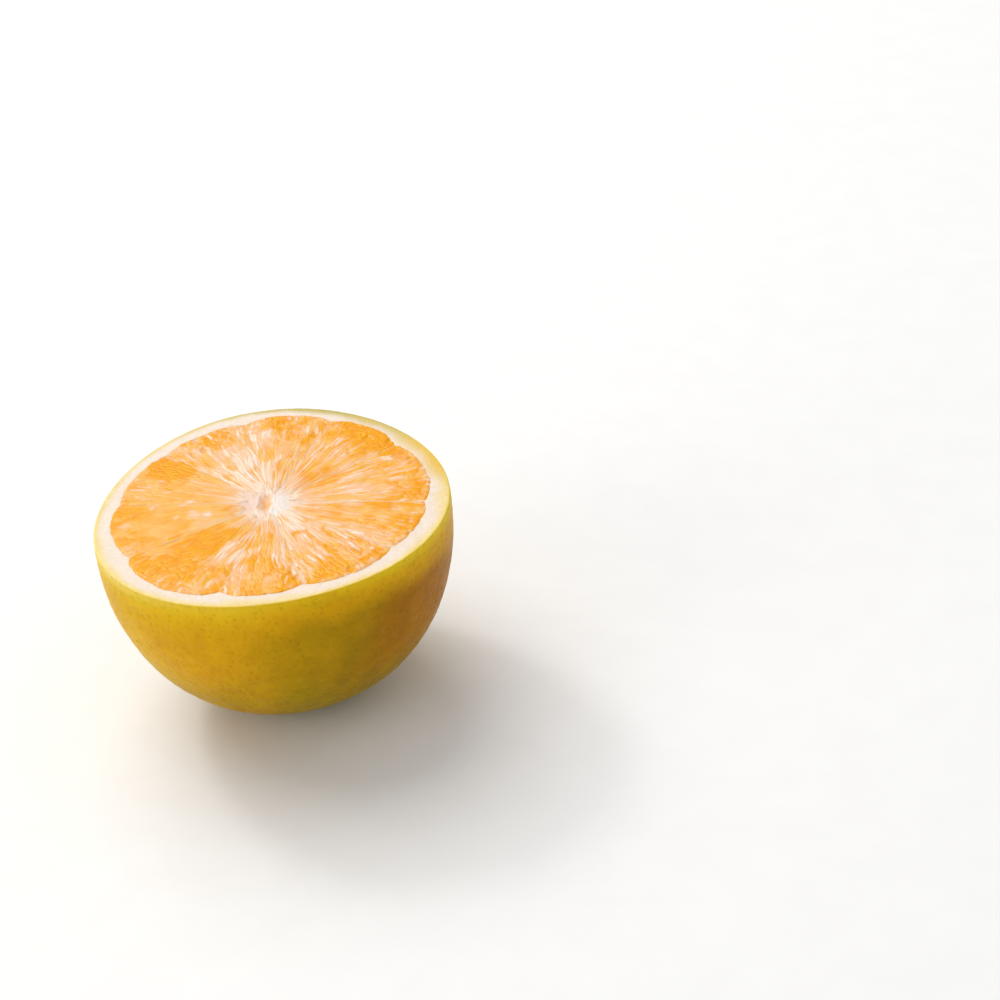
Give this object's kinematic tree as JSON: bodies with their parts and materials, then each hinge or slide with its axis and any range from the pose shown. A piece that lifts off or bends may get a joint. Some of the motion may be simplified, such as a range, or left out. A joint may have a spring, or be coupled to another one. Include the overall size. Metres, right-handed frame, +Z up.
{
  "type": "orange half",
  "caption": "Half of a sweet orange with a green-yellow rind, cut across the segments and lying cut side up on a small flat spot.",
  "frame": {"origin": "on the ground, under the middle of the half's bounding box", "axes": "+Z up, out of the level cut face; +X to the right and -Y towards the viewer of the picture"},
  "size_m": [0.0752, 0.075, 0.0463],
  "materials": {
    "rind": "satin, waxy citrus rind with fine pores, golden olive with greener patches",
    "pith": "matte, spongy cream white",
    "flesh": "wet, glossy and slightly translucent orange flesh with pale streaks"
  },
  "bodies": {
    "root": {"orange_half": "rind"}
  },
  "joints": []
}
